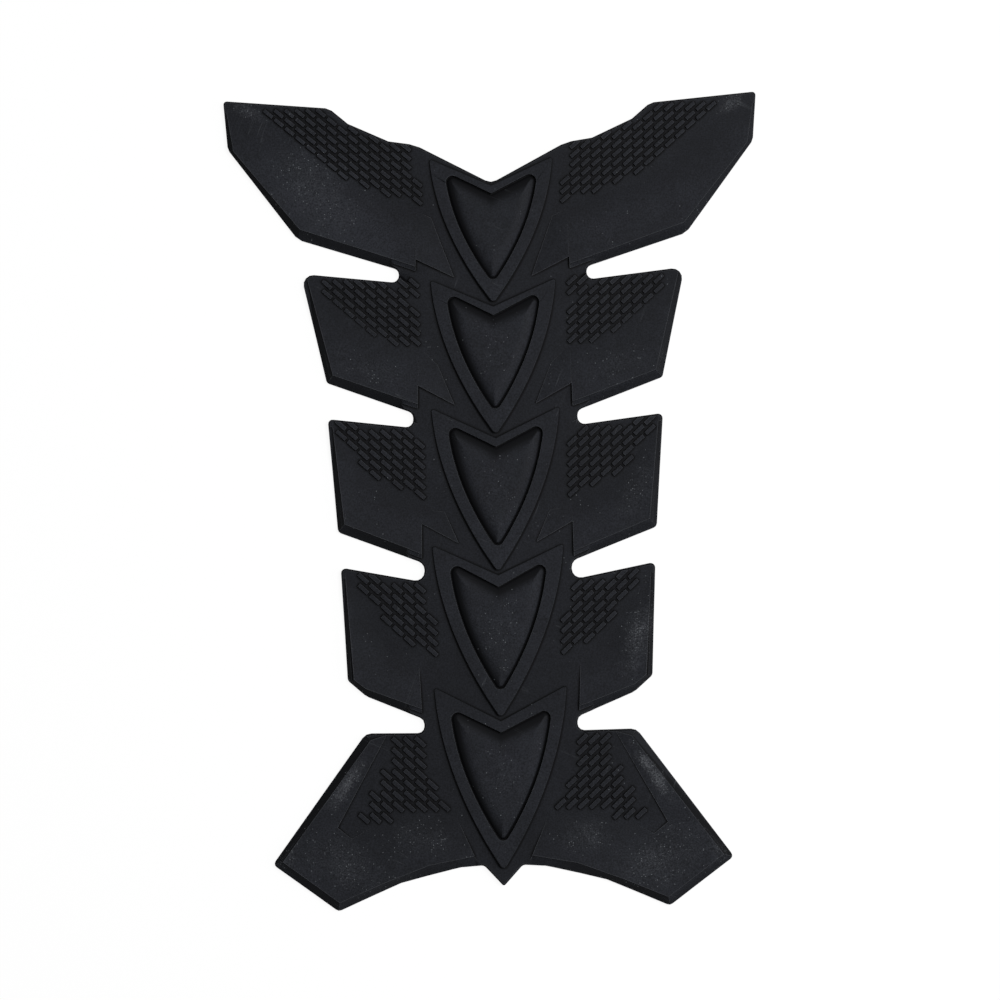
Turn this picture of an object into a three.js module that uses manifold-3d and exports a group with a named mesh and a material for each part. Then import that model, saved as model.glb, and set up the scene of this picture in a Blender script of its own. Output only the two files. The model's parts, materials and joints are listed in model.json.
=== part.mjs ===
// A motorcycle tank pad: one moulded rubber skin with a flat back, five pairs of
// wings along a spine of overlapping shield-shaped scales, and a tread of small
// bricks on every wing.
// Millimetres. X runs across the pad, Y from the tail up to the top wings, and
// Z out of the flat back, which lies at Z = 0. The pad is symmetric about X = 0.

import * as THREE from 'three';
import { mergeVertices } from 'three/addons/utils/BufferGeometryUtils.js';
import Module from 'manifold-3d';

const wasm = await Module();
wasm.setup();

// Heights above the back
const FLOOR = 2.0;
const PLATE_RISE = 1.1;
const PLATE_STEP = 0.3;
const RIM_WALL = 0.9;
const EDGE_CHAMFER = 0.45;
const BRICK_RISE = 0.5;
const BURIED = 0.5;
const SKY = 8;
const ARC_STEP = THREE.MathUtils.degToRad(27);
const SHIELD_STEPS = 2;
const SHIELD_SIDE_STEPS = 6;

// The outline of the right half, from the notch at the top to the tip of the
// tail. Each corner is x, y and the radius of its rounding.
const OUTLINE = [
  [0, 86.6, 3.2],
  [20.5, 97.4, 9],
  [33.8, 99.4, 22],
  [43.6, 107.7, 3],
  [72.3, 110.2, 0.9],
  [71.3, 97.0, 2.5],
  [52.8, 72.3, 3.5],
  [25.5, 63.6, 1.75],
  [25.5, 60.0, 1.75],
  [52.1, 62.95, 2.6],
  [45.6, 33.2, 1.1],
  [22.3, 24.6, 1.9],
  [22.3, 20.6, 1.9],
  [45.5, 23.4, 1.2],
  [43.3, -7.4, 1.4],
  [20.0, -16.3, 2.45],
  [20.0, -21.4, 2.45],
  [42.7, -17.0, 1.2],
  [41.4, -47.7, 1.5],
  [36.4, -52.1, 4],
  [20.8, -58.6, 1.85],
  [20.8, -62.4, 1.85],
  [36.8, -62.2, 3],
  [62.6, -97.3, 1.2],
  [45.0, -110.35, 1.6],
  [20.0, -99.5, 50],
  [5.3, -98.5, 1.5],
  [0, -104.3, 0.6],
];

// The scales of the spine, from the top. ear and tip are where the collar's
// corners and point lie along Y, half is its half width; insertEar, notch,
// insertTip and insertHalf say the same of the domed insert inside it.
const SCALES = [
  { ear: 93.6, tip: 53.8, half: 16.8, insertEar: 89.6, notch: 83.4, insertTip: 59.8, insertHalf: 12.3 },
  { ear: 60.7, tip: 18.1, half: 17.1, insertEar: 56.8, notch: 50.4, insertTip: 24.6, insertHalf: 12.5 },
  { ear: 25.9, tip: -19.1, half: 17.5, insertEar: 21.2, notch: 14.7, insertTip: -12.5, insertHalf: 12.8 },
  { ear: -11.3, tip: -58.7, half: 17.9, insertEar: -16.2, notch: -23.3, insertTip: -51.6, insertHalf: 13.0 },
  { ear: -49.8, tip: -100.0, half: 18.1, insertEar: -56.0, notch: -62.8, insertTip: -92.6, insertHalf: 13.5 },
];
const COLLAR_RISE = 0.28;
const TIP_RISE = 1.35;
const COLLAR_CHAMFER = 0.28;
const POCKET_DEPTH = 1.15;
const GROOVE = 0.22;
// A dome rises from its foot, along a cubic curve, as far in as its reach. Its
// rings lie at these insets from the edge of the insert.
const DOME_FOOT = -1.03;
const DOME_TOP = 0.36;
const DOME_REACH = 6.0;
const DOME_INSETS = [0.03, 0.9, 2.2, 4.2];

// The wings of the right half. stations cut across a wing's plate in turn, from
// its outer top corner round to the jog beside the spine: fold x, y and rise,
// crest x, y and rise, rim x, y and height. A rise runs from 0 at the floor to 1
// at full height, and the bevel band falls from crest to rim. fade takes the band
// on past the jog until it is level with the floor: crest x, y and rise, rim x, y
// and height. tail is the barb that leaves the jog at a share of the way from
// fold to crest. tread is the field of bricks, with the pitch of their bond.
const WINGS = [
  {
    stations: [
      [69.6, 111.4, 0, 71.4, 107.0, 0.1, 72.6, 107.2, 1.9],
      [60.0, 102.8, 0, 69.7, 96.4, 0.45, 71.5, 96.8, 1.15],
      [42.4, 87.0, 0, 52.1, 74.9, 1, 52.8, 72.3, RIM_WALL],
      [29.4, 83.4, 0, 27.6, 66.6, 1, 28.3, 64.4, RIM_WALL],
      [20.4, 79.4, 0, 20.9, 64.3, 1, 22.9, 61.9, FLOOR - 0.15],
    ],
    fade: [17.6, 63.2, 0.4, 19.6, 60.8, FLOOR + 0.15],
    tail: { leaves: 0.87, inner: [16.4, 77.4], end: [10.5, 61.2] },
    tread: {
      pitch: [2.86, 2.43],
      first: [18.6, 80.9],
      field: [[17.6, 80.1], [25.2, 82.3], [32.4, 84.8], [38.0, 86.7], [42.4, 89.0], [47.7, 93.7],
        [53.7, 99.2], [62.3, 106.4], [63.1, 110.1], [42.4, 110.5], [19.7, 99.4], [19.3, 89.1],
        [17.9, 83.1]],
    },
  },
  {
    stations: [
      [50.2, 64.4, 0, 50.4, 61.6, 0.1, 51.9, 61.9, 1.8],
      [36.0, 53.4, 0, 43.8, 35.2, 1, 45.6, 33.2, RIM_WALL],
      [25.0, 45.6, 0, 25.4, 28.5, 1, 26.2, 26.2, RIM_WALL],
      [20.6, 42.8, 0, 21.0, 27.0, 1, 22.3, 24.2, FLOOR - 0.15],
    ],
    fade: [17.8, 25.8, 0.4, 19.4, 23.0, FLOOR + 0.15],
    tail: { leaves: 0.68, inner: [15.4, 37.6], end: [11.0, 26.6] },
    tread: {
      pitch: [2.95, 2.62],
      first: [14.0, 40.2],
      field: [[17.8, 40.6], [22.0, 41.4], [26.4, 43.1], [31.0, 44.7], [34.9, 47.1], [38.8, 50.2],
        [42.5, 53.9], [47.2, 57.8], [47.6, 62.7], [19.8, 63.2], [20.2, 52.2], [18.4, 50.2]],
    },
  },
  {
    stations: [
      [44.4, 25.0, 0, 44.2, 21.2, 0.1, 45.5, 21.4, 1.8],
      [33.6, 6.6, 0, 41.4, -5.2, 1, 43.3, -7.4, RIM_WALL],
      [25.4, 1.0, 0, 24.8, -11.9, 1, 25.6, -14.1, RIM_WALL],
      [20.4, -1.2, 0, 20.6, -13.7, 1, 21.7, -16.6, FLOOR - 0.15],
    ],
    fade: [17.6, -14.9, 0.4, 19.0, -17.9, FLOOR + 0.15],
    tail: { leaves: 0.34, inner: [14.2, -2.4], end: [10.5, -11.0] },
    tread: {
      pitch: [3.02, 2.74],
      first: [13.2, -1.6],
      field: [[15.1, -1.4], [18.1, -0.3], [21.1, 0.9], [23.9, 2.2], [28.2, 3.8], [32.0, 7.2],
        [35.9, 10.1], [39.2, 14.3], [41.1, 18.0], [43.7, 20.4], [43.9, 23.9], [26.2, 21.0],
        [22.4, 21.1], [20.1, 19.2], [19.2, 14.4], [18.0, 9.8], [17.9, 4.3]],
    },
  },
  {
    stations: [
      [41.4, -15.4, 0, 41.5, -19.8, 0.1, 42.7, -19.9, 1.8],
      [38.4, -26.4, 0, 39.6, -47.4, 0.96, 41.4, -47.7, RIM_WALL],
      [29.8, -40.0, 0, 36.5, -49.9, 1, 37.0, -51.9, RIM_WALL],
      [27.4, -41.4, 0, 25.0, -54.3, 1, 25.8, -56.6, RIM_WALL],
      [21.9, -43.4, 0, 21.4, -55.6, 1, 22.4, -58.4, FLOOR - 0.15],
    ],
    fade: [18.4, -56.8, 0.4, 19.6, -59.6, FLOOR + 0.15],
    tread: {
      pitch: [3.07, 2.87],
      first: [13.6, -44.4],
      field: [[14.1, -43.6], [17.0, -42.7], [20.2, -41.2], [23.2, -39.6], [26.2, -37.9], [28.9, -36.8],
        [30.5, -33.6], [33.0, -30.1], [35.1, -26.4], [37.4, -23.4], [39.0, -21.6], [39.1, -17.5],
        [22.7, -20.4], [19.2, -21.2], [19.1, -23.9], [17.7, -27.7], [17.2, -30.9], [16.1, -35.0],
        [14.5, -38.5]],
    },
  },
  {
    stations: [
      [31.0, -62.6, 0.16, 35.4, -63.9, 0.42, 37.2, -62.2, 1.3],
      [44.8, -87.5, 0.42, 59.8, -96.5, 0.74, 62.8, -97.5, 1.05],
      [41.0, -90.6, 0.1, 44.6, -107.8, 1, 45.0, -110.9, RIM_WALL],
      [33.0, -86.2, 0, 32.2, -102.6, 0.92, 33.2, -105.2, RIM_WALL],
      [21.6, -85.2, 0, 20.1, -98.1, 0.8, 20.8, -100.6, RIM_WALL],
      [15.6, -85.2, 0, 13.4, -96.9, 0.66, 13.7, -99.2, 1.0],
      [12.4, -85.4, 0, 7.8, -95.9, 0.56, 7.6, -98.8, 1.4],
    ],
    fade: [4.6, -95.5, 0.3, 4.4, -98.4, FLOOR + 0.15],
    tread: {
      pitch: [3.12, 2.92],
      first: [14.2, -83.6],
      field: [[14.2, -83.5], [28.1, -83.6], [29.1, -86.5], [36.7, -86.8], [40.2, -85.9], [40.3, -82.9],
        [37.5, -79.3], [36.5, -77.1], [34.2, -74.4], [33.4, -71.4], [31.0, -69.2], [30.8, -62.4],
        [19.5, -62.2], [19.4, -66.2], [18.0, -69.5], [17.5, -76.5], [14.7, -79.2]],
    },
  },
];
const TAIL_INNER_RISE = 0.12;
const TAIL_END_RISE = 0.3;
const BRICK_GAP = 0.5;
const BRICK_WIDTH_SHARE = 0.66;
const BRICK_TAPER = 0.14;
const RIM_MARGIN = 0.6;

// Rounds the corners of a closed outline with arcs. stepsFor says from the turn
// at a corner how many steps its arc takes.
function roundCorners(corners, stepsFor) {
  const points = [];
  corners.forEach(([x, y, radius], i) => {
    const corner = new THREE.Vector2(x, y);
    if (!radius) {
      points.push(corner);
      return;
    }
    const before = corners[(i + corners.length - 1) % corners.length];
    const after = corners[(i + 1) % corners.length];
    const back = new THREE.Vector2(before[0], before[1]).sub(corner).normalize();
    const ahead = new THREE.Vector2(after[0], after[1]).sub(corner).normalize();
    const half = Math.acos(THREE.MathUtils.clamp(back.dot(ahead), -1, 1)) / 2;
    const centre = back.clone().add(ahead).normalize().multiplyScalar(radius / Math.sin(half)).add(corner);
    const reach = radius / Math.tan(half);
    const start = back.clone().multiplyScalar(reach).add(corner).sub(centre).angle();
    let sweep = ahead.clone().multiplyScalar(reach).add(corner).sub(centre).angle() - start;
    if (sweep > Math.PI) sweep -= 2 * Math.PI;
    if (sweep < -Math.PI) sweep += 2 * Math.PI;
    const arc = new THREE.EllipseCurve(centre.x, centre.y, radius, radius, start, start + sweep, sweep < 0);
    points.push(...arc.getPoints(stepsFor(Math.PI - 2 * half)));
  });
  return points;
}

// The full outline from the corners of its right half, counter-clockwise. The
// first and last corners lie on the axis.
function mirrorCorners(half) {
  const left = half.slice(1, -1).map(([x, y, radius]) => [-x, y, radius]);
  return [...left, half[half.length - 1], ...half.slice(0, -1).reverse().slice(0, -1), half[0]];
}

// Moves each point of a counter-clockwise outline inwards.
function inset(points, distance) {
  return points.map((point, i) => {
    const before = points[(i + points.length - 1) % points.length];
    const after = points[(i + 1) % points.length];
    const along1 = point.clone().sub(before).normalize();
    const along2 = after.clone().sub(point).normalize();
    const normal = new THREE.Vector2(-along1.y - along2.y, along1.x + along2.x).normalize();
    const miter = Math.max(0.5, normal.dot(new THREE.Vector2(-along1.y, along1.x)));
    return point.clone().add(normal.multiplyScalar(distance / miter));
  });
}

// A closed skin through rings of 3-D points that wind the same way, capped at
// both ends. The caps are cut into triangles in plan unless they are fanned.
function loft(rings, fanned = false) {
  const count = rings[0].length;
  const faces = [];
  const cap = (ring) => {
    if (fanned) return ring.slice(2).map((_, i) => [0, i + 1, i + 2]);
    return THREE.ShapeUtils.triangulateShape(ring.map((p) => new THREE.Vector2(p.x, p.y)), []);
  };
  cap(rings[0]).forEach(([a, b, c]) => faces.push([a, c, b]));
  for (let level = 0; level < rings.length - 1; level += 1) {
    const low = level * count;
    const high = low + count;
    for (let i = 0; i < count; i += 1) {
      const next = (i + 1) % count;
      faces.push([low + i, low + next, high + next], [low + i, high + next, high + i]);
    }
  }
  const top = (rings.length - 1) * count;
  cap(rings[rings.length - 1]).forEach(([a, b, c]) => faces.push([top + a, top + b, top + c]));
  return { points: rings.flat(), faces };
}

function solid({ points, faces }) {
  const geometry = new THREE.BufferGeometry().setFromPoints(points);
  geometry.setIndex(faces.flat());
  const merged = mergeVertices(geometry, 1e-5);
  return new wasm.Manifold(new wasm.Mesh({
    numProp: 3,
    vertProperties: new Float32Array(merged.attributes.position.array),
    triVerts: new Uint32Array(merged.index.array),
  }));
}

// Many separate closed skins as one.
function gather(skins) {
  const points = [];
  const faces = [];
  skins.forEach((skin) => {
    const first = points.length;
    points.push(...skin.points);
    faces.push(...skin.faces.map((face) => face.map((i) => i + first)));
  });
  return { points, faces };
}

// The same skin on the other side of the spine.
function mirrored({ points, faces }) {
  return {
    points: points.map((p) => new THREE.Vector3(-p.x, p.y, p.z)),
    faces: faces.map(([a, b, c]) => [a, c, b]),
  };
}

function at(outline, height) {
  return outline.map((p) => new THREE.Vector3(p.x, p.y, typeof height === 'function' ? height(p) : height));
}

function counterClockwise(points) {
  return THREE.ShapeUtils.isClockWise(points) ? points.slice().reverse() : points;
}

function arcSteps(turn) {
  return Math.max(1, Math.round(turn / ARC_STEP));
}

function padOutline() {
  return counterClockwise(roundCorners(mirrorCorners(OUTLINE), arcSteps));
}

// The body that all relief is trimmed to: the outline with a chamfered top edge.
function makeEnvelope() {
  const outline = padOutline();
  const upper = inset(outline, EDGE_CHAMFER);
  return solid(loft([
    at(outline, 0),
    at(outline, FLOOR - EDGE_CHAMFER),
    at(upper, FLOOR),
    at(upper, SKY),
  ]));
}

function makeSlab() {
  const slab = new THREE.BoxGeometry(160, 240, FLOOR + BURIED).translate(0, 0, (FLOOR - BURIED) / 2);
  slab.deleteAttribute('normal');
  slab.deleteAttribute('uv');
  const merged = mergeVertices(slab);
  const points = [];
  for (let i = 0; i < merged.attributes.position.count; i += 1) {
    points.push(new THREE.Vector3().fromBufferAttribute(merged.attributes.position, i));
  }
  const faces = [];
  for (let i = 0; i < merged.index.count; i += 3) {
    faces.push([0, 1, 2].map((k) => merged.index.getX(i + k)));
  }
  return solid({ points, faces });
}

function riseToHeight(rise) {
  return FLOOR - 0.04 + rise * PLATE_RISE;
}

// A section that stands under a line from one point of the surface to another.
function uprightSection(inner, outer) {
  const down = (p) => new THREE.Vector3(p.x, p.y, BURIED);
  return [down(inner), down(outer), outer, inner];
}

// A plate is ruled from fold to crest. It runs on past the crest, where the
// bevel band trims it. Its fold lies just under the floor and merges into it.
function makePlate({ stations, tail }) {
  const PAST_CREST = 1.2;
  const lines = stations.map(([foldX, foldY, foldRise, crestX, crestY, crestRise]) => [
    new THREE.Vector3(foldX, foldY, riseToHeight(foldRise)),
    new THREE.Vector3(crestX, crestY, riseToHeight(crestRise)),
  ]);
  const plate = loft(lines.map(([fold, crest]) => {
    const beyond = crest.clone().sub(fold).setZ(0).setLength(PAST_CREST).add(crest);
    return uprightSection(fold, beyond);
  }), true);
  if (!tail) return [plate];
  const [fold, crest] = lines[lines.length - 1];
  const root = fold.clone().lerp(crest, tail.leaves);
  const inner = new THREE.Vector3(...tail.inner, riseToHeight(TAIL_INNER_RISE));
  const end = new THREE.Vector3(...tail.end, riseToHeight(TAIL_END_RISE));
  return [plate, loft([uprightSection(fold, root), uprightSection(inner, end)], true)];
}

// What a bevel band takes away: everything over a strip that falls from under
// the crest to the rim and on beyond it.
function makeBandCutter({ stations, fade }) {
  const PAST_RIM = 1.6;
  const lines = [...stations.map((station) => station.slice(3)), fade];
  return loft(lines.map(([crestX, crestY, rise, rimX, rimY, rimHeight]) => {
    const crest = new THREE.Vector3(crestX, crestY, FLOOR + rise * PLATE_RISE - PLATE_STEP);
    const rim = new THREE.Vector3(rimX, rimY, rimHeight).sub(crest).multiplyScalar(PAST_RIM).add(crest);
    const sky = [rim, crest].map((p) => new THREE.Vector3(p.x, p.y, SKY + 1));
    return [crest, rim, ...sky];
  }), true);
}

// The bricks of one tread, on a running bond laid along its diagonal. Their
// middles keep clear of the rim.
function makeBricks({ pitch, first, field }, rim) {
  const [pitchX, pitchY] = pitch;
  const along = new THREE.Vector2(pitchX, pitchY).normalize();
  const across = new THREE.Vector2(-along.y, along.x);
  const length = Math.hypot(pitchX, pitchY) - BRICK_GAP;
  const width = (BRICK_WIDTH_SHARE * pitchX * pitchY) / Math.hypot(pitchX, pitchY);
  const [startX, startY] = first;
  const area = field.map(([x, y]) => new THREE.Vector2(x, y));
  const reach = 24;
  const skins = [];
  for (let i = -reach; i <= reach; i += 1) {
    for (let j = -reach; j <= reach; j += 1) {
      const centre = new THREE.Vector2(startX + (i + 0.5) * pitchX, startY + (j + 0.5) * pitchY);
      const ends = [-0.5, 0.5].map((t) => centre.clone().addScaledVector(along, t * length));
      const ring = (grow, z) => [[-1, -1], [1, -1], [1, 1], [-1, 1]].map(([u, v]) => {
        const p = centre.clone();
        p.addScaledVector(along, u * (length / 2 + grow));
        p.addScaledVector(across, v * (width / 2 + grow));
        return new THREE.Vector3(p.x, p.y, z);
      });
      if (isInside(centre, rim) && ends.every((end) => isInside(end, area))) {
        skins.push(loft([ring(0, BURIED), ring(0, FLOOR), ring(-BRICK_TAPER, FLOOR + BRICK_RISE)]));
      }
    }
  }
  return skins;
}

function isInside(point, polygon) {
  let inside = false;
  polygon.forEach(({ x: x1, y: y1 }, i) => {
    const { x: x2, y: y2 } = polygon[(i + 1) % polygon.length];
    if ((y1 > point.y) !== (y2 > point.y) && point.x < ((x2 - x1) * (point.y - y1)) / (y2 - y1) + x1) {
      inside = !inside;
    }
  });
  return inside;
}

// A shield: two ears, a notch between them and curved sides down to a point.
// inwards moves all of it in by one distance.
function shield({ ear, notch, tip, half, earRadius, tipRadius }, inwards = 0) {
  const EAR_SHIFT = 1.6;
  const NOTCH_SHIFT = 1.11;
  const TIP_SHIFT = 1.7;
  const width = half - inwards * 1.05;
  const earY = ear - inwards * EAR_SHIFT;
  const notchY = notch - inwards * NOTCH_SHIFT;
  const tipY = tip + inwards * TIP_SHIFT;
  const side = new THREE.QuadraticBezierCurve(
    new THREE.Vector2(width, earY),
    new THREE.Vector2(width * 0.9, (earY + tipY) / 2),
    new THREE.Vector2(0, tipY),
  ).getPoints(SHIELD_SIDE_STEPS).slice(1, -1).map((p) => [p.x, p.y, 0]);
  const right = [
    [0, notchY, 0],
    [width, earY, Math.max(0.2, earRadius - inwards)],
    ...side,
    [0, tipY, Math.max(0.2, tipRadius - inwards)],
  ];
  return counterClockwise(roundCorners(mirrorCorners(right), () => SHIELD_STEPS));
}

function makeScale(scale, previous) {
  const plane = (p) => FLOOR + COLLAR_RISE
    + ((TIP_RISE - COLLAR_RISE) * (scale.ear - p.y)) / (scale.ear - scale.tip);
  const collar = {
    ear: scale.ear,
    notch: previous ? previous.tip - 0.6 : 86.0,
    tip: scale.tip,
    half: scale.half,
    earRadius: 0.6,
    tipRadius: 1.0,
  };
  const insert = {
    ear: scale.insertEar,
    notch: scale.notch,
    tip: scale.insertTip,
    half: scale.insertHalf,
    earRadius: 1.5,
    tipRadius: 1.3,
  };
  const above = (height) => (p) => plane(p) + height;
  const body = loft([
    at(shield(collar), BURIED),
    at(shield(collar), above(-COLLAR_CHAMFER)),
    at(shield(collar, COLLAR_CHAMFER), plane),
  ]);
  const pocket = loft([
    at(shield(insert, -GROOVE), above(-POCKET_DEPTH)),
    at(shield(insert, -GROOVE), SKY),
  ]);
  const domeHeight = (distance) => DOME_TOP - (DOME_TOP - DOME_FOOT) * (1 - distance / DOME_REACH) ** 3;
  const dome = loft([
    at(shield(insert, DOME_INSETS[0]), BURIED),
    ...DOME_INSETS.map((distance) => at(shield(insert, distance), above(domeHeight(distance)))),
  ]);
  return { body, pocket, dome };
}

function makePad() {
  const onBothSides = (skins) => [...skins, ...skins.map(mirrored)];
  const plates = onBothSides(WINGS.flatMap(makePlate));
  const cutters = onBothSides(WINGS.map(makeBandCutter));
  const rim = inset(padOutline(), RIM_MARGIN);
  const bricks = onBothSides(WINGS.flatMap((wing) => makeBricks(wing.tread, rim)));
  const scales = SCALES.map((scale, i) => makeScale(scale, SCALES[i - 1]));

  let relief = makeSlab();
  plates.forEach((plate) => {
    relief = relief.add(solid(plate));
  });
  cutters.forEach((cutter) => {
    relief = relief.subtract(solid(cutter));
  });
  relief = relief.add(solid(gather(bricks)));
  scales.forEach(({ body }) => {
    relief = relief.add(solid(body));
  });
  scales.forEach(({ pocket, dome }) => {
    relief = relief.subtract(solid(pocket)).add(solid(dome));
  });
  return relief.intersect(makeEnvelope());
}

function toGeometry(manifold) {
  const mesh = manifold.getMesh();
  const geometry = new THREE.BufferGeometry();
  geometry.setAttribute('position', new THREE.BufferAttribute(mesh.vertProperties, 3));
  geometry.setIndex(new THREE.BufferAttribute(mesh.triVerts, 1));
  geometry.computeVertexNormals();
  return geometry;
}

const rubber = new THREE.MeshStandardMaterial({ color: 0x27282b, roughness: 0.62, metalness: 0 });
const pad = new THREE.Mesh(toGeometry(makePad()), rubber);
pad.name = 'tank_pad';

const tankPad = new THREE.Group();
tankPad.add(pad);

export default tankPad;
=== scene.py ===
import json
import math

import bmesh
import bpy
from mathutils import Matrix, Vector

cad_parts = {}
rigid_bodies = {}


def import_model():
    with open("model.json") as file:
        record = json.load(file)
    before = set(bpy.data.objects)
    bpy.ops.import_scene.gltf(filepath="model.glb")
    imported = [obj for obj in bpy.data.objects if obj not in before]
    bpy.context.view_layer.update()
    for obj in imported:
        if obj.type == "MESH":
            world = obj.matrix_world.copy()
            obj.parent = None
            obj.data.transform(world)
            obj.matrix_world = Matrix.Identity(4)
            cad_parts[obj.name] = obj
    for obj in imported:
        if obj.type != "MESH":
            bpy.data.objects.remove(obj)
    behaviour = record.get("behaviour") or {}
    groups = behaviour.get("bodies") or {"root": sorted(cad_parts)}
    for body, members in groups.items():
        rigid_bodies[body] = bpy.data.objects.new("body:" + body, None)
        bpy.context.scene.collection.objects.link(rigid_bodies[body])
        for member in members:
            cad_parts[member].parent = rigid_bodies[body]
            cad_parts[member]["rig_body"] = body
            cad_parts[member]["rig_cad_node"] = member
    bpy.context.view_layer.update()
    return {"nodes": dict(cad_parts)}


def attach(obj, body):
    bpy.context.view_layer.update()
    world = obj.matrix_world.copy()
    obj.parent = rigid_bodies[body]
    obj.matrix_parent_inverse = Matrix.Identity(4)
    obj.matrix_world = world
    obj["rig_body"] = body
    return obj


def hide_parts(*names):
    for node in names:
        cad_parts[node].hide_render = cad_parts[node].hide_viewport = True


bl_info = {
    "name": "Motorcycle Tank Pad",
    "version": (1, 0, 0),
    "blender": (4, 5, 0),
    "location": "View3D > Sidebar > Tank Pad",
    "description": "A moulded rubber tank pad with winged plates, shield scales and brick treads",
    "category": "Object",
}

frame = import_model()

MM = 0.001

# Tables and constants of the shape are in millimetres. They give the right half,
# and the left one mirrors it. FLOOR is the level of the skin between the raised
# forms, and the two feet are the levels inside the skin where scales and bricks start.
FLOOR = 2.0
SCALE_FOOT = 0.5
BRICK_FOOT = 1.6
# The skin is opened this far past the foot of a collar or brick, but not below
# BACK_LEVEL, so that the pad's back stays closed.
OPENING_MARGIN = 0.02
BACK_LEVEL = 0.1

# bond is the pitch of a wing's bricks across and up, first is a corner of their
# lattice, and below says how far up the pad the wing's bricks reach.
TREADS = (
    {"below": 120.0, "bond": (2.86, 2.43), "first": (18.6, 80.9)},
    {"below": 70.0, "bond": (2.95, 2.62), "first": (14.0, 40.2)},
    {"below": 30.0, "bond": (3.02, 2.74), "first": (13.2, -1.6)},
    {"below": -8.0, "bond": (3.07, 2.87), "first": (13.6, -44.4)},
    {"below": -52.0, "bond": (3.12, 2.92), "first": (14.2, -83.6)},
)
BRICK_GAP = 0.5
BRICK_WIDTH_SHARE = 0.66
BRICK_TAPER = 0.14
# How much longer and wider a finer brick is than the one that it covers.
BRICK_GROWTH = 0.04
# A face is part of a brick's flat top if its normal's Z is over FLAT_NORMAL and its
# level is within LEVEL_SLACK of the bricks' level. A brick is whole if its top has
# more than WHOLE_SHARE of its full area.
FLAT_NORMAL = 0.999
LEVEL_SLACK = 0.003
WHOLE_SHARE = 0.97
# The whole bricks, as tread number, x and y. The moulded skin's operator fills it.
BRICKS = []

# The scales of the spine from the top. ear and tip are where the collar's
# corners and point lie along Y, notch is the foot of the V between its corners
# and half is its half width. The insert's four values are its ear, notch, tip and half.
SCALES = (
    {"ear": 93.6, "notch": 86.0, "tip": 53.8, "half": 16.8, "insert": (89.6, 83.4, 59.8, 12.3)},
    {"ear": 60.7, "notch": 53.2, "tip": 18.1, "half": 17.1, "insert": (56.8, 50.4, 24.6, 12.5)},
    {"ear": 25.9, "notch": 17.5, "tip": -19.1, "half": 17.5, "insert": (21.2, 14.7, -12.5, 12.8)},
    {"ear": -11.3, "notch": -19.7, "tip": -58.7, "half": 17.9, "insert": (-16.2, -23.3, -51.6, 13.0)},
    {"ear": -49.8, "notch": -59.3, "tip": -100.0, "half": 18.1, "insert": (-56.0, -62.8, -92.6, 13.5)},
)
# Radii of the ears and the tip.
COLLAR_RADII = (0.6, 1.0)
INSERT_RADII = (1.5, 1.3)
LEAST_RADII = (0.25, 0.3)
CORNER_STEPS = 6
# What one millimetre inwards takes off a shield's half width, ears, tip and notch.
SIDE_SHIFT, EAR_SHIFT, TIP_SHIFT, NOTCH_SHIFT = 1.05, 1.6, 1.7, 1.11
# A shield's side is a quadratic curve from ear to tip. BULGE is the place of its
# middle control point as a share of the half width, and the rest say which part
# of the curve is drawn, in how many steps.
BULGE = 0.9
SIDE_START, SIDE_SPAN, SIDE_STEPS = 0.1, 0.78, 26
# How much wider a finer collar is than the one that it covers.
COLLAR_SPREAD = 0.03
# Rounding of a collar's outer edge and of its edge at the groove, with their steps.
COLLAR_ROUNDING, COLLAR_STEPS = 0.28, 4
LIP_ROUNDING, LIP_STEPS = 0.14, 3
# How far the groove narrows to its floor, on the collar's side and on the dome's.
GROOVE_TAPER, DOME_INSET = 0.04, 0.03
# A dome's flank starts this far over the groove's floor. Its rings lie closer
# together near its edge, and its slope fades out by a cubic.
DOME_STEP, DOME_RINGS, DOME_SPACING, DOME_FADE = 0.12, 16, 1.4, 3

SHARP_ANGLE = math.radians(32)

# Where dust has gathered: the middle of each patch, its turn in degrees, its half
# length and half width, how much dust it holds, and whether it lies on both sides
# of the spine.
PATCHES = (
    {"middle": (42.2, -75.8), "turn": -57, "half": (12.5, 2.8), "dust": 1.15, "both": True},
    {"middle": (39.2, -71.4), "turn": -57, "half": (8.5, 2.6), "dust": 1.4, "both": False},
    {"middle": (58.5, -95.2), "turn": -50, "half": (8.0, 4.6), "dust": 0.45, "both": True},
    {"middle": (42.0, -98.0), "turn": 22, "half": (22.0, 11.0), "dust": 0.38, "both": True},
    {"middle": (22.0, -90.5), "turn": 10, "half": (14.0, 7.5), "dust": 0.38, "both": True},
    {"middle": (0.5, -75.0), "turn": 90, "half": (15.0, 8.0), "dust": 0.22, "both": True},
    {"middle": (0.5, -36.0), "turn": 90, "half": (15.0, 7.5), "dust": 0.20, "both": True},
    {"middle": (0.5, 2.0), "turn": 90, "half": (14.0, 7.5), "dust": 0.20, "both": True},
    {"middle": (0.5, 40.5), "turn": 90, "half": (13.0, 7.0), "dust": 0.16, "both": True},
    {"middle": (38.0, -36.0), "turn": 75, "half": (16.0, 6.0), "dust": 0.75, "both": False},
    {"middle": (38.0, 3.5), "turn": 70, "half": (15.0, 6.0), "dust": 0.35, "both": False},
    {"middle": (34.0, 37.0), "turn": 20, "half": (13.0, 7.0), "dust": 0.25, "both": True},
    {"middle": (65.5, 107.2), "turn": 35, "half": (7.0, 3.0), "dust": 0.65, "both": True},
    {"middle": (-48.0, 86.0), "turn": -52, "half": (24.0, 14.0), "dust": 0.40, "both": False},
)
# The upper left wing, where the film and its painted light are stronger by this share of themselves, so
# that the wing comes out lighter.
BLOOM = {"middle": (-47.0, 82.0), "turn": -50, "half": (44.0, 21.0), "dust": 1.0}
BLOOM_FILM_AND_LIGHT = 0.6
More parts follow.
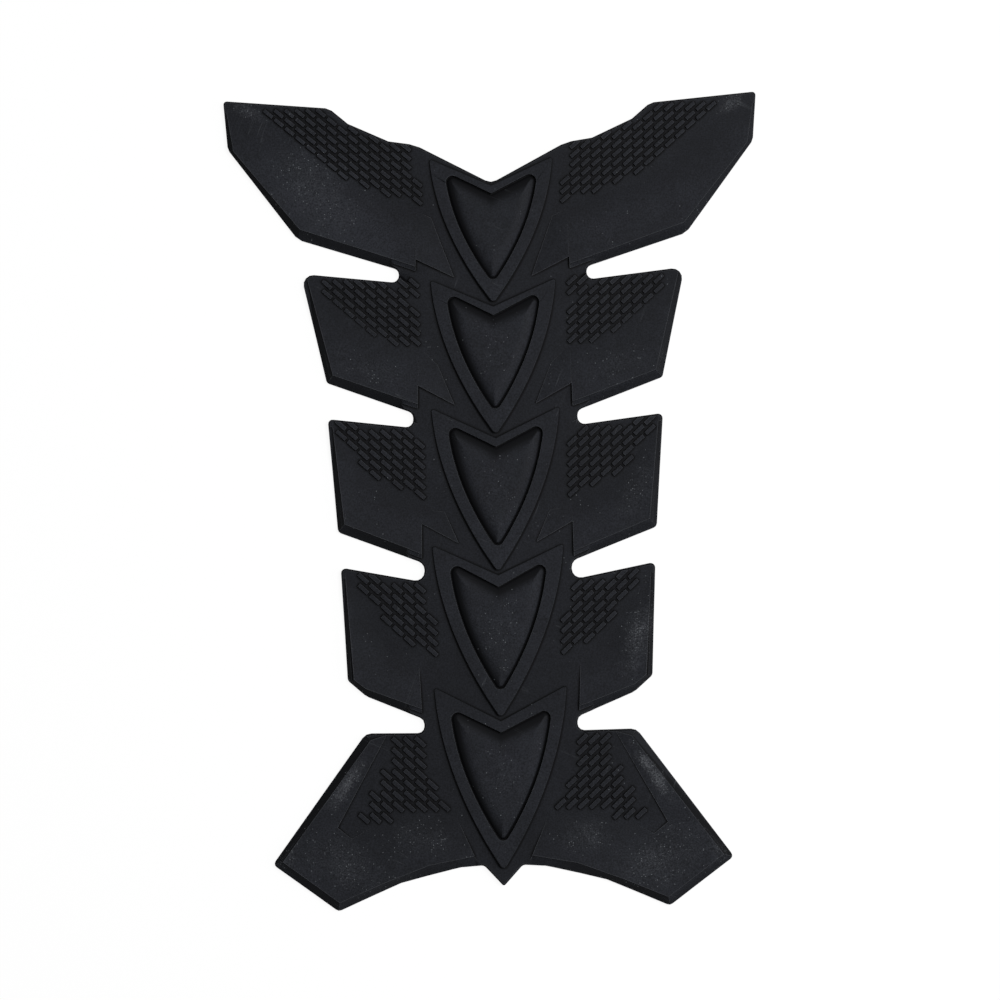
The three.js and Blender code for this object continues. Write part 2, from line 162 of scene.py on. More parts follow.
# Film and powder are laid on a face from the first of these cosines to the finish's lean, and in full
# from the second. They stand for settled dust and for painted light at once: faces turned towards the
# lean, to the lower right, come out lighter.
SETTLING_AND_LIGHT = (0.76, 0.945)
# What is left of the film and its painted light down on the skin's floor, which so comes out darker than
# the raised forms, and the levels over the floor between which it grows to the full.
FLOOR_FILM_AND_LIGHT = 0.7
FILM_AND_LIGHT_LEVELS = (0.03, 0.6)
HAZE_AMOUNT = 1.25
# The film's three noises: waves per metre, detail and roughness, the noise values
# over which dust sets in, and the share of dust that is there anyway.
HAZE = (
    {"waves": 28.0, "detail": 2.0, "roughness": 0.55, "from": (0.35, 0.75), "least": 0.75},
    {"waves": 210.0, "detail": 4.0, "roughness": 0.65, "from": (0.32, 0.72), "least": 0.75},
    {"waves": 2400.0, "detail": 3.0, "roughness": 0.75, "from": (0.30, 0.70), "least": 0.2},
)
# How far a patch's edge wanders, as a share of its size, and the powers by which
# powder follows the patches and the clouds.
RAGGEDNESS = 1.6
PATCH_POWER, CLOUD_POWER = 1.6, 2.6
# The share of powder that sticks to steep faces, and what a face turned to the lean adds, which paints it
# lighter as well as dustier.
STEEP_POWDER, SETTLED_AND_LIT_POWDER = 0.4, 1.1
# Share of the cells that hold a speck, where dust drifts and where it has gathered.
LOOSE_SPECKS, GATHERED_SPECKS = 0.07, 0.7
# How the scratches' noise is stretched, the value along which its lines run, and
# the directions of the scratches.
SCRATCH_STRETCH = (22.0, 620.0, 22.0)
SCRATCH_VALUE = 0.64
SCRATCH_TURNS = (0.45, -1.2)
# Roughness of the clean rubber, and what the clouds of dust add to it.
CLEAN_ROUGHNESS, DUST_ROUGHNESS = 0.5, 0.15
# How strongly the worn edges with their painted highlight, the specks and the scratches show.
WEAR_AND_HIGHLIGHT_SHARE, SPECK_SHARE, SCRATCH_SHARE = 0.7, 0.8, 0.14

# The studio, in metres: its floor, and where each light hangs and how large it is.
STUDIO_WIDTH = 6.0
KEY_PLACE, KEY_SIZE = (0.50, 0.20, 1.0), (0.5, 0.5)
SIDE_PLACE, SIDE_SIZE = (0.95, -0.05, 0.50), (0.5, 0.3)
# The share of the floor that shines white for the rays that show the background.
PAPER_SHARE = 0.92
# The point of the pad in the middle of the view, the camera's lens and its sensor.
VIEW_MIDDLE = (0.855, 0.586)
LENS, SENSOR = 110.0, 36.0


class PadShape(bpy.types.PropertyGroup):
    brick_rise: bpy.props.FloatProperty(
        name="Brick rise", description="Height of the bricks over the floor",
        default=0.5 * MM, unit="LENGTH", precision=5)
    brick_radius: bpy.props.FloatProperty(
        name="Brick radius", description="Rounding of the bricks' upper edges",
        default=0.14 * MM, unit="LENGTH", precision=5)
    collar_rise: bpy.props.FloatProperty(
        name="Collar rise at the ears", description="Height of a collar over the floor at its ears",
        default=0.28 * MM, unit="LENGTH", precision=5)
    tip_rise: bpy.props.FloatProperty(
        name="Collar rise at the tip", description="Height of a collar over the floor at its tip",
        default=1.35 * MM, unit="LENGTH", precision=5)
    groove_width: bpy.props.FloatProperty(
        name="Groove width", description="Gap between a collar and its domed insert",
        default=0.3 * MM, unit="LENGTH", precision=5)
    groove_depth: bpy.props.FloatProperty(
        name="Groove depth", description="Depth of the gap round a domed insert",
        default=1.15 * MM, unit="LENGTH", precision=5)
    dome_reach: bpy.props.FloatProperty(
        name="Dome flank", description="How far in from its edge a domed insert keeps rising",
        default=6.0 * MM, unit="LENGTH", precision=5)
    dome_top: bpy.props.FloatProperty(
        name="Dome top", description="Height of a domed insert over its collar",
        default=0.36 * MM, unit="LENGTH", precision=5)


class PadFinish(bpy.types.PropertyGroup):
    rubber: bpy.props.FloatVectorProperty(
        name="Rubber", description="Colour of the clean rubber",
        subtype="COLOR", size=3, min=0, max=1, default=(0.0038, 0.0040, 0.0047))
    # The film is dust and painted light at once: it is laid on faces turned to the lean, which come out
    # lighter, and it stands in for a soft sheen.
    film_and_light: bpy.props.FloatVectorProperty(
        name="Film and light", description="Colour of the thin grey film on faces that look up",
        subtype="COLOR", size=3, min=0, max=1, default=(0.0180, 0.0194, 0.0240))
    # The powder colour also paints the highlight along worn convex edges.
    powder_and_highlight: bpy.props.FloatVectorProperty(
        name="Powder", description="Colour of powdery dust and of worn edges",
        subtype="COLOR", size=3, min=0, max=1, default=(0.060, 0.063, 0.070))
    # Faces turned to the lean get film and powder, so the lean also sets where the painted light seems to
    # come from: the lower right.
    lean: bpy.props.FloatVectorProperty(
        name="Lean", description="The way up in which the pad lay while dust settled on it",
        subtype="XYZ", size=3, default=(0.22, -0.25, 0.95))
    speck: bpy.props.FloatVectorProperty(
        name="Specks", description="Colour of loose dust specks and fine scratches",
        subtype="COLOR", size=3, min=0, max=1, default=(0.13, 0.14, 0.15))
    # Painted shade: the colour that creases, grooves and the feet of steps are darkened to.
    crease_shade: bpy.props.FloatVectorProperty(
        name="Creases", description="Colour down in grooves and at the foot of steps",
        subtype="COLOR", size=3, min=0, max=1, default=(0.003, 0.003, 0.0035))


class Studio(bpy.types.PropertyGroup):
    floor: bpy.props.FloatVectorProperty(
        name="Floor", description="Colour of the studio floor",
        subtype="COLOR", size=3, min=0, max=1, default=(0.93, 0.93, 0.93))
    view_width: bpy.props.FloatProperty(
        name="View width", description="Width that the camera takes in at the pad",
        default=271.3 * MM, unit="LENGTH")
    view_turn: bpy.props.FloatProperty(
        name="View turn", description="Turn of the camera about its line of sight",
        default=math.radians(-1.06), subtype="ANGLE")
    key_power: bpy.props.FloatProperty(
        name="Key light", description="Power of the soft light high at the right",
        default=13.4, unit="POWER")
    side_power: bpy.props.FloatProperty(
        name="Side light", description="Power of the smaller light lower down at the right",
        default=3.4, unit="POWER")
    room_light: bpy.props.FloatProperty(
        name="Room light", description="Strength of the even light from the room",
        default=0.2)


def deselect_all():
    if bpy.context.object and bpy.context.object.mode != "OBJECT":
        bpy.ops.object.mode_set(mode="OBJECT")
    bpy.ops.object.select_all(action="DESELECT")


def make_active(piece):
    deselect_all()
    piece.select_set(True)
    bpy.context.view_layer.objects.active = piece


def round_corners(corners, steps):
    """A closed outline with each corner (x, y, radius) rounded by an arc."""
    points = []
    for i, (x, y, radius) in enumerate(corners):
        corner = Vector((x, y))
        if radius <= 0:
            points.append(corner)
            continue
        back = (Vector(corners[i - 1][:2]) - corner).normalized()
        ahead = (Vector(corners[(i + 1) % len(corners)][:2]) - corner).normalized()
        half = math.acos(max(-1.0, min(1.0, back.dot(ahead)))) / 2
        centre = corner + (back + ahead).normalized() * (radius / math.sin(half))
        start = corner + back * (radius / math.tan(half)) - centre
        end = corner + ahead * (radius / math.tan(half)) - centre
        sweep = math.pi - 2 * half
        if start.x * end.y - start.y * end.x < 0:
            sweep = -sweep
        points += [centre + Matrix.Rotation(sweep * k / steps, 2) @ start for k in range(steps + 1)]
    return points


def shield(ear, notch, tip, half, radii, inwards):
    """A shield's outline, counter-clockwise and ending at its notch, moved in by a distance."""
    width = half - inwards * SIDE_SHIFT
    top = ear - inwards * EAR_SHIFT
    bottom = tip + inwards * TIP_SHIFT
    ear_radius, tip_radius = (max(least, radius - inwards) for least, radius in zip(LEAST_RADII, radii))
    bulge = Vector((width * BULGE, (top + bottom) / 2))
    right = [(width, top, ear_radius)]
    for k in range(SIDE_STEPS + 1):
        t = SIDE_START + SIDE_SPAN * k / SIDE_STEPS
        point = Vector((width, top)) * (1 - t) ** 2 + bulge * 2 * t * (1 - t)
        point += Vector((0, bottom)) * t ** 2
        right.append((point.x, point.y, 0))
    left = [(-x, y, radius) for x, y, radius in reversed(right)]
    corners = [(0, notch - inwards * NOTCH_SHIFT, 0)] + right + [(0, bottom, tip_radius)] + left
    return list(reversed(round_corners(corners, CORNER_STEPS)))


def collar_outline(scale, inwards):
    return shield(scale["ear"], scale["notch"], scale["tip"], scale["half"], COLLAR_RADII, inwards)


def insert_outline(scale, inwards):
    return shield(*scale["insert"], INSERT_RADII, inwards)


def loft_by_extruding(name, rings):
    """A closed shell: a disc on the first ring, extruded from ring to ring."""
    deselect_all()
    bpy.ops.mesh.primitive_circle_add(vertices=len(rings[0]), radius=MM, fill_type="NGON")
    piece = bpy.context.object
    piece.name = piece.data.name = name
    bpy.ops.object.mode_set(mode="EDIT")
    bpy.ops.mesh.select_mode(type="FACE")
    shell = bmesh.from_edit_mesh(piece.data)
    place = shell.verts.layers.int.new("place")
    for number, corner in enumerate(next(iter(shell.faces)).verts):
        corner[place] = number
    for level, ring in enumerate(rings):
        if level:
            bpy.ops.mesh.extrude_region()
        shell = bmesh.from_edit_mesh(piece.data)
        place = shell.verts.layers.int["place"]
        for corner in next(face for face in shell.faces if face.select).verts:
            corner.co = Vector(ring[corner[place]]) * MM
        bmesh.update_edit_mesh(piece.data)
    bpy.ops.mesh.select_all(action="SELECT")
    bpy.ops.mesh.normals_make_consistent(inside=False)
    bpy.ops.object.mode_set(mode="OBJECT")
    return piece


def join(name, pieces):
    make_active(pieces[0])
    for piece in pieces[1:]:
        piece.select_set(True)
    bpy.ops.object.join()
    pieces[0].name = pieces[0].data.name = name
    return pieces[0]


def inside(point, outline):
    """Whether a point lies inside a closed outline."""
    x, y = point
    within = False
    for i, (x2, y2) in enumerate(outline):
        x1, y1 = outline[i - 1]
        if (y1 > y) != (y2 > y) and x < (x2 - x1) * (y - y1) / (y2 - y1) + x1:
            within = not within
    return within


def brick_size(tread):
    """Length and width of a tread's bricks at their foot."""
    pitch_x, pitch_y = tread["bond"]
    diagonal = math.hypot(pitch_x, pitch_y)
    return diagonal - BRICK_GAP, BRICK_WIDTH_SHARE * pitch_x * pitch_y / diagonal


def nearest_brick(x, y):
    """The tread that a point lies in, by number, and the middle of the brick place round it."""
    number = max(n for n, tread in enumerate(TREADS) if y < tread["below"])
    middle = []
    for value, first, pitch in zip((abs(x), y), TREADS[number]["first"], TREADS[number]["bond"]):
        middle.append(round(first + (math.floor((value - first) / pitch) + 0.5) * pitch, 3))
    return number, math.copysign(middle[0], x), middle[1]


def on_brick(x, y, margin):
    """Whether a point lies on the foot of the brick place round it, or within a margin of it."""
    number, middle_x, middle_y = nearest_brick(x, y)
    along = Vector(TREADS[number]["bond"]).normalized()
    away = Vector((abs(x) - abs(middle_x), y - middle_y))
    length, width = brick_size(TREADS[number])
    across = away.x * along.y - away.y * along.x
    return abs(away.dot(along)) < length / 2 + margin and abs(across) < width / 2 + margin


class PADS_OT_moulded_skin(bpy.types.Operator):
    """Outline, plates and bevel bands, with the places of whole bricks and scales left open"""
    bl_idname = "pads.moulded_skin"
    bl_label = "Moulded skin"

    def execute(self, context):
        skin = self.copy_of_solid(context)
        bpy.ops.object.mode_set(mode="EDIT")
        bpy.ops.mesh.select_mode(type="VERT")
        bpy.ops.mesh.select_all(action="SELECT")
        bpy.ops.mesh.remove_doubles(threshold=0.001 * MM)
        bpy.ops.mesh.select_mode(type="FACE")
        bpy.ops.mesh.select_all(action="DESELECT")
        shell = bmesh.from_edit_mesh(skin.data)
        self.find_whole_bricks(shell, FLOOR + context.scene.pad_shape.brick_rise / MM)
        collars = [collar_outline(scale, -OPENING_MARGIN) for scale in SCALES]
        for face in shell.faces:
            x, y, z = face.calc_center_median() / MM
            covered = nearest_brick(x, y) in BRICKS and on_brick(x, y, OPENING_MARGIN)
            covered = covered or any(inside((x, y), collar) for collar in collars)
            face.select = covered and z > BACK_LEVEL
        bmesh.update_edit_mesh(skin.data)
        bpy.ops.mesh.delete(type="FACE")
        bpy.ops.object.mode_set(mode="OBJECT")
        return {"FINISHED"}

    def copy_of_solid(self, context):
        """A free copy of the solid without its tags and its imported corner normals."""
        make_active(frame["nodes"]["tank_pad"])
        bpy.ops.object.duplicate()
        skin = context.object
        skin.name = skin.data.name = "moulded_skin"
        skin.parent = None
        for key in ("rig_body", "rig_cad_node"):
            if key in skin:
                del skin[key]
        bpy.ops.mesh.customdata_custom_splitnormals_clear()
        return skin

    def find_whole_bricks(self, shell, brick_top):
        """Lists the bricks whose flat top was not cut off by the pad's outline."""
        tops = {}
        for face in shell.faces:
            x, y, z = face.calc_center_median() / MM
            flat = face.normal.z > FLAT_NORMAL and abs(z - brick_top) < LEVEL_SLACK
            if flat and on_brick(x, y, 0):
                key = nearest_brick(x, y)
                tops[key] = tops.get(key, 0) + face.calc_area() / MM ** 2
        BRICKS.clear()
        for key, area in sorted(tops.items()):
            length, width = brick_size(TREADS[key[0]])
            if area > WHOLE_SHARE * (length - 2 * BRICK_TAPER) * (width - 2 * BRICK_TAPER):
                BRICKS.append(key)


class PADS_OT_brick_treads(bpy.types.Operator):
    """The small raised bricks of every wing, one model copied over a running bond"""
    bl_idname = "pads.brick_treads"
    bl_label = "Brick treads"

    def execute(self, context):
        shape = context.scene.pad_shape
        bricks = []
        for number, tread in enumerate(TREADS):
            model = self.model_brick(tread, shape)
            turn = math.atan2(tread["bond"][1], tread["bond"][0])
            for x, y in [key[1:] for key in BRICKS if key[0] == number]:
                brick = model.copy()
                brick.data = model.data.copy()
                place = Matrix.Translation((x * MM, y * MM, 0))
                brick.data.transform(place @ Matrix.Rotation(math.copysign(turn, x), 4, "Z"))
                context.collection.objects.link(brick)
                bricks.append(brick)
            deselect_all()
            model.select_set(True)
            bpy.ops.object.delete()
        join("brick_treads", bricks)
        return {"FINISHED"}

    def model_brick(self, tread, shape):
        """One brick, narrower at its top, with its upper edges and corners rounded."""
        length, width = (value + BRICK_GROWTH for value in brick_size(tread))
        top = FLOOR + shape.brick_rise / MM
        deselect_all()
        bpy.ops.mesh.primitive_cube_add(size=1, location=(0, 0, (top + BRICK_FOOT) / 2 * MM),
                                        scale=(length * MM, width * MM, (top - BRICK_FOOT) * MM))
        brick = bpy.context.object
        bpy.ops.object.transform_apply(location=True, rotation=True, scale=True)
        bpy.ops.object.mode_set(mode="EDIT")
        bpy.ops.mesh.select_mode(type="FACE")
        bpy.ops.mesh.select_all(action="DESELECT")
        shell = bmesh.from_edit_mesh(brick.data)
        for face in shell.faces:
            face.select = face.normal.z > 0.9
        bmesh.update_edit_mesh(brick.data)
        narrower = 2 * BRICK_TAPER
        bpy.ops.transform.resize(value=((length - narrower) / length, (width - narrower) / width, 1),
                                 center_override=(0, 0, top * MM))
        bpy.ops.mesh.select_mode(type="EDGE")
        bpy.ops.mesh.select_all(action="DESELECT")
        shell = bmesh.from_edit_mesh(brick.data)
        near_top = (top - 0.1) * MM
        for edge in shell.edges:
            edge.select = max(corner.co.z for corner in edge.verts) > near_top
        bmesh.update_edit_mesh(brick.data)
        bpy.ops.mesh.bevel(offset=shape.brick_radius, segments=2, affect="EDGES")
        bpy.ops.object.mode_set(mode="OBJECT")
        return brick


def scale_rings(scale, shape):
    """The rings of one scale, from the foot of its collar over the groove to the top of its dome."""
    rise, tip_rise = shape.collar_rise / MM, shape.tip_rise / MM
    width, depth = shape.groove_width / MM, shape.groove_depth / MM
    reach, top = shape.dome_reach / MM, shape.dome_top / MM

    def plane(y):
        return FLOOR + rise + (tip_rise - rise) * (scale["ear"] - y) / (scale["ear"] - scale["tip"])

    def tilted(outline, drop):
        return [(p.x, p.y, plane(p.y) + drop) for p in outline]

    rings = [[(p.x, p.y, SCALE_FOOT) for p in collar_outline(scale, -COLLAR_SPREAD)]]
    for k in range(COLLAR_STEPS + 1):
        turn = k / COLLAR_STEPS * math.pi / 2
        inwards = COLLAR_ROUNDING * (1 - math.cos(turn)) - COLLAR_SPREAD
        rings.append(tilted(collar_outline(scale, inwards), -COLLAR_ROUNDING * (1 - math.sin(turn))))
    for k in range(LIP_STEPS + 1):
        turn = k / LIP_STEPS * math.pi / 2
        inwards = -width - LIP_ROUNDING * (1 - math.sin(turn))
        rings.append(tilted(insert_outline(scale, inwards), -LIP_ROUNDING * (1 - math.cos(turn))))
    rings.append(tilted(insert_outline(scale, GROOVE_TAPER - width), -depth))
    rings.append(tilted(insert_outline(scale, 0.0), -depth))
    climb = top - (DOME_STEP - depth)
    for k in range(DOME_RINGS):
        inwards = reach * (k / (DOME_RINGS - 1)) ** DOME_SPACING
        drop = top - climb * (1 - inwards / reach) ** DOME_FADE
        rings.append(tilted(insert_outline(scale, DOME_INSET + inwards), drop))
    return rings


class PADS_OT_shield_scales(bpy.types.Operator):
    """The spine of tilted collars, each round a domed insert in a groove"""
    bl_idname = "pads.shield_scales"
    bl_label = "Shield scales"

    def execute(self, context):
        for number, scale in enumerate(SCALES, start=1):
            loft_by_extruding(f"scale_{number}", scale_rings(scale, context.scene.pad_shape))
        return {"FINISHED"}


class PADS_OT_one_moulding(bpy.types.Operator):
    """Joins skin, bricks and scales into the one moulded piece and finishes it"""
    bl_idname = "pads.one_moulding"
    bl_label = "One moulding"

    def execute(self, context):
        names = ["moulded_skin", "brick_treads"] + [f"scale_{n}" for n in range(1, len(SCALES) + 1)]
        pad = join("tank_pad_moulding", [bpy.data.objects[name] for name in names])
        bpy.ops.object.shade_smooth_by_angle(angle=SHARP_ANGLE)
        self.part_faces_at_openings(pad)
        bpy.ops.object.modifier_add(type="WEIGHTED_NORMAL")
        pad.modifiers[-1].keep_sharp = True
        bpy.ops.object.modifier_apply(modifier=pad.modifiers[-1].name)
        pad.data.materials.clear()
        pad.data.materials.append(black_rubber(context.scene.pad_finish))
        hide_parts("tank_pad")
        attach(pad, "root")
        return {"FINISHED"}

    def part_faces_at_openings(self, pad):
        """Splits sharp edges that run into an opening, so that each side keeps its own normals."""
        bpy.ops.object.mode_set(mode="EDIT")
        bpy.ops.mesh.select_mode(type="EDGE")
        bpy.ops.mesh.select_all(action="DESELECT")
        shell = bmesh.from_edit_mesh(pad.data)
        for edge in shell.edges:
            edge.select = not edge.smooth and any(corner.is_boundary for corner in edge.verts)
        bmesh.update_edit_mesh(pad.data)
        bpy.ops.mesh.edge_split(type="EDGE")
        bpy.ops.object.mode_set(mode="OBJECT")


def add_group(name, inputs, outputs):
    """A shader node group with its sockets and both of its end nodes."""
    group = bpy.data.node_groups.new(name, "ShaderNodeTree")
    for label, kind, value in inputs:
        socket = group.interface.new_socket(name=label, in_out="INPUT", socket_type=kind)
        if value is not None:
            socket.default_value = value
    for label, kind in outputs:
        group.interface.new_socket(name=label, in_out="OUTPUT", socket_type=kind)
    return group, group.nodes.new("NodeGroupInput"), group.nodes.new("NodeGroupOutput")


def use(tree, group, **values):
    """A node that uses a group. A value for the socket Wear Radius is given as Wear_Radius."""
    node = tree.nodes.new("ShaderNodeGroup")
    node.node_tree = group
    for label, value in values.items():
        socket = node.inputs[label.replace("_", " ")]
        if isinstance(value, bpy.types.NodeSocket):
            tree.links.new(value, socket)
        else:
            socket.default_value = value
    return node


def ramp(tree, low, high, value):
    """A value that goes smoothly from 0 at low to 1 at high."""
    node = tree.nodes.new("ShaderNodeMapRange")
    node.interpolation_type = "SMOOTHSTEP"
    node.inputs["From Min"].default_value = low
    node.inputs["From Max"].default_value = high
    tree.links.new(value, node.inputs["Value"])
    return node.outputs["Result"]


def maths(tree, operation, first, second=None):
    node = tree.nodes.new("ShaderNodeMath")
    node.operation = operation
    for socket, value in zip(node.inputs, (first, second)):
        if value is None:
            continue
        if isinstance(value, (int, float)):
            socket.default_value = value
        else:
            tree.links.new(value, socket)
    return node.outputs[0]


def times(tree, first, second):
    return maths(tree, "MULTIPLY", first, second)


def scaled(tree, value, factor, offset):
    """A value times a factor, plus an offset."""
    return maths(tree, "ADD", times(tree, value, factor), offset)


def noise(tree, vector, waves, detail=3.0, roughness=0.55):
    """Noise with so many waves per unit of its vector."""
    node = tree.nodes.new("ShaderNodeTexNoise")
    node.inputs["Scale"].default_value = waves
    node.inputs["Detail"].default_value = detail
    node.inputs["Roughness"].default_value = roughness
    tree.links.new(vector, node.inputs["Vector"])
    return node.outputs["Fac"]


def vector_maths(tree, operation, first, second=None):
    """A vector node. Its second input takes a socket or a constant."""
    node = tree.nodes.new("ShaderNodeVectorMath")
    node.operation = operation
    tree.links.new(first, node.inputs[0])
    if isinstance(second, bpy.types.NodeSocket):
        tree.links.new(second, node.inputs[1])
    elif second is not None:
        node.inputs[1].default_value = second
    return node


def turned(tree, vector, angle, back=False):
    """A vector turned about Z, or turned back."""
    node = tree.nodes.new("ShaderNodeVectorRotate")
    node.rotation_type = "Z_AXIS"
    node.invert = back
    tree.links.new(vector, node.inputs["Vector"])
    tree.links.new(angle, node.inputs["Angle"])
    return node.outputs["Vector"]


def blend_colour(tree, factor, first, second):
    node = tree.nodes.new("ShaderNodeMix")
    node.data_type = "RGBA"
    tree.links.new(factor, node.inputs["Factor"])
    for socket, value in ((node.inputs["A"], first), (node.inputs["B"], second)):
        if isinstance(value, bpy.types.NodeSocket):
            tree.links.new(value, socket)
        else:
            socket.default_value = (*value, 1.0)
    return node.outputs["Result"]


def facing(tree, direction):
    """How far the surface faces a direction, as a cosine."""
    geometry = tree.nodes.new("ShaderNodeNewGeometry")
    towards = Vector(direction).normalized()
    return vector_maths(tree, "DOT_PRODUCT", geometry.outputs["Normal"], towards).outputs["Value"]


def dust_haze_group():
    """Thin dust in faint clouds, broken up by a fine grain."""
    group, start, end = add_group(
        "Dust Haze",
        [("Vector", "NodeSocketVector", None), ("Amount", "NodeSocketFloat", 0.5)],
        [("Mask", "NodeSocketFloat")])
    total = start.outputs["Amount"]
    for layer in HAZE:
        value = noise(group, start.outputs["Vector"], layer["waves"], layer["detail"], layer["roughness"])
        cloud = ramp(group, *layer["from"], value)
        total = times(group, total, scaled(group, cloud, 1 - layer["least"], layer["least"]))
    group.links.new(total, end.inputs["Mask"])
    return group


def dust_specks_group():
    """Separate specks of dust, dense in the patches and few elsewhere. Size is in cells per metre."""
    group, start, end = add_group(
        "Dust Specks",
        [("Vector", "NodeSocketVector", None), ("Size", "NodeSocketFloat", 1900.0),
         ("Patches", "NodeSocketFloat", 0.0)],
        [("Mask", "NodeSocketFloat")])
    cells = group.nodes.new("ShaderNodeTexVoronoi")
    group.links.new(start.outputs["Vector"], cells.inputs["Vector"])
    group.links.new(start.outputs["Size"], cells.inputs["Scale"])
    dots = ramp(group, 0.36, 0.12, cells.outputs["Distance"])
    chance = group.nodes.new("ShaderNodeSeparateColor")
    group.links.new(cells.outputs["Color"], chance.inputs["Color"])
    drift = ramp(group, 0.48, 0.75, noise(group, start.outputs["Vector"], 70.0, 4.0))
    share = maths(group, "ADD", times(group, drift, LOOSE_SPECKS),
                  times(group, start.outputs["Patches"], GATHERED_SPECKS))
    kept = maths(group, "LESS_THAN", chance.outputs["Red"], share)
    bright = scaled(group, chance.outputs["Green"], 0.8, 0.2)
    group.links.new(times(group, times(group, dots, kept), bright), end.inputs["Mask"])
    return group


def dust_patch_group():
    """A soft oval patch about a point, with a ragged edge."""
    group, start, end = add_group(
        "Dust Patch",
        [("Vector", "NodeSocketVector", None), ("Middle", "NodeSocketVector", None),
         ("Turn", "NodeSocketFloat", 0.0), ("Half", "NodeSocketVector", None),
         ("Ragged", "NodeSocketFloat", 0.0), ("Dust", "NodeSocketFloat", 0.5)],
        [("Mask", "NodeSocketFloat")])
    away = vector_maths(group, "SUBTRACT", start.outputs["Vector"], start.outputs["Middle"])
    own = turned(group, away.outputs["Vector"], start.outputs["Turn"], back=True)
    share = vector_maths(group, "DIVIDE", own, start.outputs["Half"])
    length = vector_maths(group, "LENGTH", share.outputs["Vector"])
    reach = maths(group, "ADD", length.outputs["Value"], start.outputs["Ragged"])
    mask = times(group, ramp(group, 1.0, 0.0, reach), start.outputs["Dust"])
    group.links.new(mask, end.inputs["Mask"])
    return group


def fine_scratches_group():
    """Hairline scratches: thin level lines of a noise stretched along one direction."""
    group, start, end = add_group(
        "Fine Scratches",
        [("Vector", "NodeSocketVector", None), ("Turn", "NodeSocketFloat", 0.0)],
        [("Mask", "NodeSocketFloat")])
    along = turned(group, start.outputs["Vector"], start.outputs["Turn"])
    stretched = vector_maths(group, "MULTIPLY", along, SCRATCH_STRETCH)
    value = noise(group, stretched.outputs["Vector"], 1.0, 1.0)
    gap = maths(group, "ABSOLUTE", maths(group, "SUBTRACT", value, SCRATCH_VALUE))
    line = ramp(group, 0.009, 0.001, gap)
    broken = ramp(group, 0.56, 0.66, noise(group, along, 45.0, 2.0))
    group.links.new(times(group, line, broken), end.inputs["Mask"])
    return group


def wear_highlight_and_crease_shade_group():
    """Light wear with a painted highlight on convex edges, and painted shade in the creases."""
    group, start, end = add_group(
        "Edges and Creases",
        [("Wear Radius", "NodeSocketFloat", 0.25 * MM), ("Crease Reach", "NodeSocketFloat", 0.8 * MM)],
        [("HighlitWear", "NodeSocketFloat"), ("Crease Shade", "NodeSocketFloat")])
    geometry = group.nodes.new("ShaderNodeNewGeometry")
    bevel = group.nodes.new("ShaderNodeBevel")
    bevel.samples = 6
    group.links.new(start.outputs["Wear Radius"], bevel.inputs["Radius"])
    likeness = vector_maths(group, "DOT_PRODUCT", bevel.outputs["Normal"], geometry.outputs["Normal"])
    bent = ramp(group, 0.995, 0.90, likeness.outputs["Value"])
    open_sky = group.nodes.new("ShaderNodeAmbientOcclusion")
    open_sky.samples = 12
    open_sky.only_local = True
    group.links.new(start.outputs["Crease Reach"], open_sky.inputs["Distance"])
    free = open_sky.outputs["AO"]
    # Edge wear and a painted highlight: lighter where the bevelled normal bends and the sky is open.
    group.links.new(times(group, bent, ramp(group, 0.75, 0.98, free)), end.inputs["HighlitWear"])
    # Painted shade: creases darken where the ambient occlusion finds little open sky.
    group.links.new(ramp(group, 0.985, 0.78, free), end.inputs["Crease Shade"])
    return group


def rubber_grain_group():
    """The fine pebble of moulded rubber, as a height."""
    group, start, end = add_group(
        "Rubber Grain", [("Vector", "NodeSocketVector", None)], [("Height", "NodeSocketFloat")])
    pebble = noise(group, start.outputs["Vector"], 2600.0, 3.0, 0.6)
    swell = noise(group, start.outputs["Vector"], 260.0, 2.0)
    group.links.new(maths(group, "ADD", pebble, times(group, swell, 1.6)), end.inputs["Height"])
    return group


def oval(tree, vector, patch, entry, ragged=0.0):
    """The mask of one entry of PATCHES, or of BLOOM."""
    x, y = entry["middle"]
    length, width = entry["half"]
    node = use(tree, patch, Vector=vector, Middle=(x * MM, y * MM, 0), Turn=math.radians(entry["turn"]),
               Half=(length * MM, width * MM, 1.0), Ragged=ragged, Dust=entry["dust"])
    return node.outputs["Mask"]


def dust_patches(tree, place, axes, patch):
    """All the dust patches, as one mask."""
    folded = tree.nodes.new("ShaderNodeCombineXYZ")
    tree.links.new(maths(tree, "ABSOLUTE", axes.outputs["X"]), folded.inputs["X"])
    tree.links.new(axes.outputs["Y"], folded.inputs["Y"])
    swing = maths(tree, "SUBTRACT", noise(tree, place, 150.0, 6.0, 0.75), 0.5)
    ragged = times(tree, swing, RAGGEDNESS)
    total = 0.0
    for entry in PATCHES:
        vector = folded.outputs["Vector"] if entry["both"] else place
        total = maths(tree, "MAXIMUM", oval(tree, vector, patch, entry, ragged), total)
    return total


def film_and_light_mask(tree, place, axes, patch, clouds, settled_and_lit):
    """The grey film of dust and painted light, stronger on raised forms and in the bloom, so that these
    come out lighter.
    """
    low, high = ((FLOOR + level) * MM for level in FILM_AND_LIGHT_LEVELS)
    raised = ramp(tree, low, high, axes.outputs["Z"])
    film_and_light = times(tree, clouds, settled_and_lit)
    film_and_light = times(tree, film_and_light, scaled(tree, raised, 1 - FLOOR_FILM_AND_LIGHT, FLOOR_FILM_AND_LIGHT))
    return times(tree, film_and_light, scaled(tree, oval(tree, place, patch, BLOOM), BLOOM_FILM_AND_LIGHT, 1.0))


